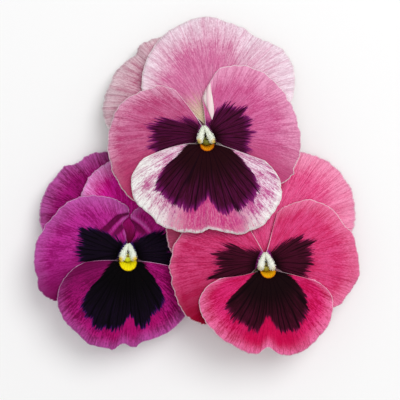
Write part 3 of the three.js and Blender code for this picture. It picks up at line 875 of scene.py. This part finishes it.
def grow_petal(bloom_name, kind, seed):
    bloom = BLOOMS[bloom_name]
    petal = bloom["petals"][kind]
    layer = LAYERS[kind]
    lip = petal_lip(bloom, kind)
    bm = open_mesh(["veins", "zones"], ["edge", "throat", "stripe", "crease", "beard_gap"])
    verts, place = grid_sheet(bm, RAYS, CLAW_ROWS + LIMB_ROWS)
    across = place[:, 0]
    row = place[:, 1] * (CLAW_ROWS + LIMB_ROWS)
    along = np.clip((row - CLAW_ROWS) / LIMB_ROWS, 0, 1) ** ROW_SPACING

    # The veins in the bloom's plane, with a frill at the margin.
    around = across * VEIN_SPAN
    frill = 0.32 * wander(around, 2.2, seed) + 0.2 * wander(around, 0.9, seed + 1)
    flat, length = petal_rays(petal, lip, across, along, frill * np.clip(along * 2, 0, 1))
    inner_side = 0.0 if kind == "side_left" else 1.0
    if "inner_edge" in petal:
        share = np.linspace(0, 1, 60)
        inner_ray = petal_rays(petal, lip, np.full_like(share, inner_side), share)[0]
        pull_back(petal["inner_edge"], flat, inner_ray)
    throat = np.hypot(*flat.T)
    margin = (1 - along) * length
    edge = margin.copy()
    for side in (0.0, 1.0):
        beside = petal_rays(petal, lip, np.full_like(across, side), along)[0]
        if "inner_edge" in petal and side == inner_side:
            pull_back(petal["inner_edge"], beside, inner_ray)
            beside[flat[:, 1] < petal["rim_from"]] = NO_EDGE
        edge = np.minimum(edge, np.hypot(*(flat - beside).T))

    # Waves, ripples that fade where the veins crowd together, and creases.
    turn = 2 * math.pi * layer["waves"] * across
    height = face_height(layer, throat)
    height += layer["wave"] * along**2.5 * (np.sin(turn) + 0.5 * along * np.sin(2.3 * turn + 1)) * 0.8
    ripple = 0.3 * wander(around, 4.0, seed + 2) + 0.15 * wander(around, 1.6, seed + 3)
    spread = vein_spread(petal, lip, across, along)
    height += spread * np.exp(-margin / 3) * ripple
    height += 0.12 * spread * wander(around, 1.8, seed + 4)
    # The creases also give each point its painted shade and painted highlight.
    fold, crease = crease_folds(petal, flat)
    height += fold

    # The claw runs straight from its foot to the lip.
    on_claw = row < CLAW_ROWS - 1e-3
    share = np.clip(row / CLAW_ROWS, 0, 1)
    foot = np.array(CLAWS[kind]["foot"], float)
    foot = foot[0] + (foot[1] - foot[0]) * across[:, None]
    flat = np.where(on_claw[:, None], foot + (flat - foot) * share[:, None], flat)
    height = np.where(on_claw, CLAW_FOOT + (height - CLAW_FOOT) * share, height) + PETAL_THICKNESS / 2

    blotch = blotch_depth(petal, flat)
    eye = np.full(len(flat), NO_EYE)
    if not kind.startswith("upper"):
        eye = bloom["eye"]["radius"] - np.hypot(*(flat - bloom["eye"]["middle"]).T)
    stripe_width = COLOURING[bloom_name]["petals"][kind].get("stripe_width", 20)
    off_stripe = np.degrees(np.arctan2(flat[:, 1], flat[:, 0])) - STRIPE_HEADING
    beard_gap = np.full(len(flat), NO_BEARD)
    if kind.startswith("side"):
        beard = spline(beard_path(bloom_name, -1 if kind == "side_left" else 1), np.linspace(0, 1, 20))
        beard_gap = np.linalg.norm(flat[:, None, :] - beard[None], axis=2).min(axis=1)
    points = np.column_stack([flat, height])
    shape(bm, verts, points, veins=np.column_stack([around, along * length, 0 * along]),
          zones=np.column_stack([margin, blotch, eye]), edge=edge, throat=throat,
          stripe=np.exp(-((off_stripe / stripe_width) ** 2)), crease=crease, beard_gap=beard_gap)
    face_up(bm, bm.faces[:])
    if "flap" in petal:
        fold_over(bm, petal["flap"], points)
    if kind == "lower":
        grow_spur(bm)
    return bm


def fold_over(bm, flap, petal_points):
    """A lens of the petal's edge that curls over onto its face and shows the underside."""
    verts, place = grid_sheet(bm, 8, 24)
    crest, free = spline(flap["crest"], place[:, 1]), spline(flap["free"], place[:, 1])
    across = place[:, 0]
    flat = crest + (free - crest) * across[:, None]
    width = np.hypot(*(free - crest).T)
    roll = np.sin(math.pi * across**0.6) * 0.22 * width + 0.12 * width * across
    gaps = np.linalg.norm(petal_points[None, :, :2] - flat[:, None], axis=2)
    near = np.argsort(gaps, axis=1)[:, :6]
    nearness = 1 / (np.take_along_axis(gaps, near, axis=1) + 0.05)
    under = np.average(petal_points[near, 2], axis=1, weights=nearness)
    shape(bm, verts, np.column_stack([flat, under + 0.1 + roll]), veins=np.column_stack([flat, 0 * roll]))
    faces = weld(bm, verts, 0.02)[1]
    face_up(bm, faces)
    show_underside(faces)


def limb(bm, spine, across, half_width, half_height, sides=12, rows=24, cup=0.0, ribs=(0, 0.0)):
    """A tube along a spine that lies in the plane square to across. Its half width and half height are
    values spread evenly along it, and cup bends its edges up. Gives its verts and faces."""
    verts, place = grid_sheet(bm, sides, rows)
    turn = math.pi * (2 * place[:, 0] - 1)
    share = place[:, 1]
    run = spline(spine, share + 0.01) - spline(spine, share - 0.01)
    run /= np.linalg.norm(run, axis=1)[:, None]
    across = np.array(across, float)
    upright = np.cross(run, across)
    rib = 1 + ribs[1] * np.cos(ribs[0] * turn)
    sideways = np.cos(turn) * spline(np.array(half_width)[:, None], share)[:, 0] * rib
    lift = np.sin(turn) * spline(np.array(half_height)[:, None], share)[:, 0] * rib
    points = spline(spine, share) + sideways[:, None] * across + (lift + cup * sideways**2)[:, None] * upright
    length = np.linalg.norm(np.diff(np.array(spine, float), axis=0), axis=1).sum()
    shape(bm, verts, points, fibres=np.column_stack([sideways, lift, share * length]))
    verts, faces = weld(bm, verts, 0.002)
    bmesh.ops.recalc_face_normals(bm, faces=faces)
    smooth(faces)
    return verts, faces


def grow_spur(bm):
    """The lower petal's hollow spur, open to the throat."""
    show_underside(limb(bm, SPUR["spine"], (1, 0, 0), SPUR["radii"], SPUR["radii"], sides=20, rows=18)[1])


def thicken(petal):
    """A petal's sheet gets its underside, which has the second finish."""
    shell = petal.modifiers.new("thickness", "SOLIDIFY")
    shell.thickness = PETAL_THICKNESS * MM
    shell.offset = -1
    shell.material_offset = 1
    shell.material_offset_rim = 0


# ---- the pieces in the throat -------------------------------------------------------------------


def beard_path(bloom_name, side):
    """The middle line of a beard, seen from the front, from its foot to the apex."""
    apex_x, apex_y = BLOOMS[bloom_name]["apex"]
    foot_x, foot_y = BEARD["foot"]
    foot = (side * foot_x, foot_y)
    apex = (apex_x + side * BEARD["parting"], apex_y)
    middle = ((foot[0] + apex[0]) / 2 + side * BEARD["bulge"], (foot[1] + apex[1]) / 2)
    return [foot, middle, apex]


def grow_beard(bloom_name, side, seed):
    """A lobe at the foot of a side petal, thick with short club-ended hairs."""
    bm = open_mesh(["fibres"], ["tint"])
    path = beard_path(bloom_name, side)
    spine = [(*point, rise) for point, rise in zip(path, BEARD["rise"])]
    lean = np.array(path[2]) - np.array(path[0])
    across = np.array([lean[1], -lean[0], 0]) / np.hypot(*lean)
    lobe, faces = limb(bm, spine, across, BEARD["half_width"], BEARD["half_height"], sides=16, rows=20)
    tint = bm.verts.layers.float["tint"]
    yellow_x, yellow_y = side * BEARD["yellow_foot"][0], BEARD["yellow_foot"][1]

    def yellowness(point):
        gap = math.hypot(point[0] - yellow_x, point[1] - yellow_y)
        return float(np.clip((BEARD["yellow_reach"] - gap) / BEARD["yellow_fade"], 0, 1))

    for vert in lobe:
        vert[tint] = yellowness(vert.co)
    draw = random.Random(seed)
    upper = [face for face in faces if face.normal.z > -0.1]
    for _ in range(HAIR["number"]):
        face = draw.choice(upper)
        jitter = Vector([draw.uniform(-HAIR["jitter"], HAIR["jitter"]) for _ in range(3)])
        heading = (face.normal + Vector((0, 0, HAIR["upwards"])) + HAIR["splay"] * jitter).normalized()
        length = draw.uniform(*HAIR["length"])
        middle = face.calc_center_median() + jitter + heading * length * HAIR["middle"]
        size = Matrix.Diagonal((HAIR["radius"], HAIR["radius"], length / 2, 1))
        stand = Matrix.Translation(middle) @ heading.to_track_quat("Z", "Y").to_matrix().to_4x4() @ size
        hair = bmesh.ops.create_icosphere(bm, subdivisions=1, radius=1, matrix=stand)["verts"]
        for vert in hair:
            vert[tint] = yellowness(middle)
            smooth(vert.link_faces)
    return bm


def grow_pistil():
    """A style that thickens upwards, and a round head with a brimmed hole in its front."""
    bm = open_mesh(["fibres"], ["tint"])
    limb(bm, STYLE["spine"], (1, 0, 0), STYLE["radii"], STYLE["radii"], sides=12, rows=20)
    head = bmesh.ops.create_uvsphere(bm, u_segments=28, v_segments=20, radius=1)["verts"]
    hole = Vector(STIGMA["hole"]).normalized()
    tint = bm.verts.layers.float["tint"]
    for vert in head:
        outwards = vert.co.normalized()
        angle = outwards.angle(hole)
        dent = math.exp(-((angle / STIGMA["dent_width"]) ** 2))
        brim = math.exp(-(((angle - STIGMA["brim_angle"]) / STIGMA["brim_width"]) ** 2))
        vert[tint] = min(1.0, 1.3 * dent)
        reach = 1 - STIGMA["dent"] * dent + STIGMA["brim"] * brim
        out = [c * r * reach for c, r in zip(outwards, STIGMA["radii"])]
        vert.co = Vector(STIGMA["middle"]) + Vector(out)
        smooth(vert.link_faces)
    return bm


def grow_anthers():
    """Five anthers round the style. Each ends in a broad, brown tip."""
    bm = open_mesh(["fibres"], ["tint"])
    tint = bm.verts.layers.float["tint"]
    for number in range(5):
        outwards = heading_vector(90 + 72 * number)
        flare = ANTHERS["flare"]["back" if outwards[1] > 0 else "front"]
        spine = [outwards * (radius + flare * share) + np.array([0, ANTHERS["y"], z])
                 for radius, share, z in ANTHERS["profile"]]
        across = (-outwards[1], outwards[0], 0)
        lobe, _ = limb(bm, spine, across, ANTHERS["half_width"], ANTHERS["half_height"], sides=12, rows=16)
        for vert in lobe:
            vert[tint] = float(np.clip((vert.co.z - ANTHERS["tip_from"]) / ANTHERS["tip_fade"], 0, 1))
    return bm


# ---- calyx and stem -----------------------------------------------------------------------------


def heading_vector(degrees):
    return np.array([math.cos(math.radians(degrees)), math.sin(math.radians(degrees)), 0])


def grow_stem_and_calyx(bloom_name, place):
    """The receptacle with its five sepals, and the stem, which bends and lies along the table."""
    bm = open_mesh(["fibres"], ["tint"])
    axis_y = RECEPTACLE["y"]
    limb(bm, [(0, axis_y, z) for z in RECEPTACLE["heights"]], (1, 0, 0), RECEPTACLE["radii"],
         RECEPTACLE["radii"], sides=20, rows=24)
    for direction in SEPAL["directions"]:
        outwards = heading_vector(direction)
        spine = [outwards * out + np.array([0, axis_y, z]) for out, z in SEPAL["spine"]]
        limb(bm, spine, (-outwards[1], outwards[0], 0), SEPAL["half_width"], SEPAL["half_height"],
             sides=16, rows=36, cup=SEPAL["cup"])
    bmesh.ops.transform(bm, matrix=place, verts=bm.verts)

    stem = BLOOMS[bloom_name]["stem"]
    start = place @ Vector((0, axis_y, RECEPTACLE["heights"][0] + STEM["sunk"]))
    away = Vector(heading_vector(stem["heading"]))
    elbow = Vector((start.x, start.y, STEM["height"]))
    down = elbow + away * stem["bend"]
    bend = [start.lerp(elbow, t).lerp(elbow.lerp(down, t), t) for t in np.linspace(0, 1, 7)[:-1]]
    run = [down + away * stem["run"] * t for t in np.linspace(0, 1, 5)]
    radii = [STEM["radius"]] * 2
    limb(bm, bend + run, (-away.y, away.x, 0), radii, radii, sides=24, rows=60, ribs=STEM["ribs"])
    cut = [edge for edge in bm.edges if edge.is_boundary and (edge.verts[0].co - run[-1]).length < 3]
    cap = bmesh.ops.holes_fill(bm, edges=cut, sides=0)["faces"]
    bmesh.ops.inset_individual(bm, faces=cap, thickness=STEM["cut_rim"])
    tint = bm.verts.layers.float["tint"]
    for face in cap:
        for vert in face.verts:
            vert[tint] = 1.0
    open_end = [edge for edge in bm.edges if edge.is_boundary]
    bmesh.ops.holes_fill(bm, edges=open_end, sides=0)
    return bm


# ---- placing ------------------------------------------------------------------------------------


def into_scene(name, data):
    thing = bpy.data.objects.new(name, data)
    bpy.context.scene.collection.objects.link(thing)
    return thing


def mesh_object(bm, name, materials):
    mesh = bpy.data.meshes.new(name)
    bm.to_mesh(mesh)
    bm.free()
    for material in materials:
        mesh.materials.append(material)
    return into_scene(name, mesh)


def bloom_place(bloom_name):
    """The bloom's place and lean, in millimetres. The pistil's solid says where its throat is."""
    low, high = (Vector(corner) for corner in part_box(f"{bloom_name}_pistil"))
    lean = [math.radians(angle) for angle in BLOOMS[bloom_name]["lean"]]
    turn = Euler((lean[0], lean[1], 0), "XYZ").to_matrix().to_4x4()
    head = turn @ Vector(STIGMA["solid_middle"])
    middle = (low + high) / 2 / MM
    throat = Vector((middle.x - head.x, middle.y - head.y, BLOOMS[bloom_name]["throat_height"]))
    return Matrix.Translation(throat) @ turn


def settle(bm, name, place, materials, node):
    """Puts a finished piece in the row's frame, in metres, over the solid that it stands for."""
    bmesh.ops.transform(bm, matrix=Matrix.Scale(MM, 4) @ place, verts=bm.verts)
    piece = mesh_object(bm, name, materials)
    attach(piece, "root")
    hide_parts(node)
    return piece


IN_PLACE = Matrix.Identity(4)
green = plant_tissue("stem_green", *STEM_GREEN)

for bloom_number, (bloom_name, bloom) in enumerate(BLOOMS.items()):
    colours = COLOURING[bloom_name]
    place = bloom_place(bloom_name)
    for petal_number, kind in enumerate(bloom["petals"]):
        seed = 10 * bloom_number + petal_number + 1
        own = colours["petals"][kind]
        face = Velvet(f"{bloom_name}_{kind}_velvet", kind, colours, own, seed).material
        back = petal_back(f"{bloom_name}_{kind}_back", colours["back"], own["body"])
        node = f"{bloom_name}_petal_{kind}"
        bm = grow_petal(bloom_name, kind, seed)
        thicken(settle(bm, f"{node}_veined", place, [face, back], node))

    cream = [colours["beard"], HAIR_TIPS, colours["beard_foot"]]
    cream = plant_tissue(f"{bloom_name}_beard_cream", *cream, 0.85)
    for side_name, side in (("left", -1), ("right", 1)):
        node = f"{bloom_name}_beard_{side_name}"
        bm = grow_beard(bloom_name, side, 50 + 2 * bloom_number + side)
        settle(bm, f"{node}_haired", place, [cream], node)

    olive = [colours["stigma"], colours["stigma_streaks"], colours["hole"]]
    olive = plant_tissue(f"{bloom_name}_stigma", *olive, 0.4)
    settle(grow_pistil(), f"{bloom_name}_pistil_hollow", place, [olive], f"{bloom_name}_pistil")
    tan = plant_tissue(f"{bloom_name}_anthers", *ANTHER_TAN, colours["hole"], 0.8)
    settle(grow_anthers(), f"{bloom_name}_anthers_ring", place, [tan], f"{bloom_name}_anthers")

    node = f"{bloom_name}_stem_and_calyx"
    settle(grow_stem_and_calyx(bloom_name, place), f"{node}_ribbed", IN_PLACE, [green], node)

# ---- table, light and camera --------------------------------------------------------------------

bm = bmesh.new()
grid_sheet(bm, 1, 1)
bmesh.ops.scale(bm, vec=(TABLE_HALF_WIDTH, TABLE_HALF_WIDTH, 1), verts=bm.verts)
table_finish = Finish("table_white", 0.9)
table_finish.colour(TABLE_WHITE)
table = mesh_object(bm, "table", [table_finish.material])

world = bpy.data.worlds.new("studio")
world.use_nodes = True
background = world.node_tree.nodes["Background"]
background.inputs["Color"].default_value = (1.0, 1.0, 1.0, 1.0)
background.inputs["Strength"].default_value = ROOM_LIGHT
bpy.context.scene.world = world


def soft_light(name, where, size, power):
    """A round lamp that points at the middle of the cluster."""
    lamp = bpy.data.lights.new(name, "AREA")
    lamp.shape = "DISK"
    lamp.size = size
    lamp.energy = power
    light = into_scene(name, lamp)
    light.location = where
    light.rotation_euler = (-Vector(where)).to_track_quat("-Z", "Y").to_euler()


soft_light("softbox_upper_right", (0.55, 0.6, 1.2), 0.9, 10.0)
soft_light("softbox_overhead", (0.0, 0.0, 1.4), 0.9, 4.0)

camera_data = bpy.data.cameras.new("camera")
camera_data.sensor_width = 36
camera_data.lens = 99
camera_data.clip_start = 0.01
camera = into_scene("camera", camera_data)
camera.location = (0.0011, -0.0065, 0.452)
bpy.context.scene.camera = camera
bpy.context.scene.view_settings.view_transform = "Standard"
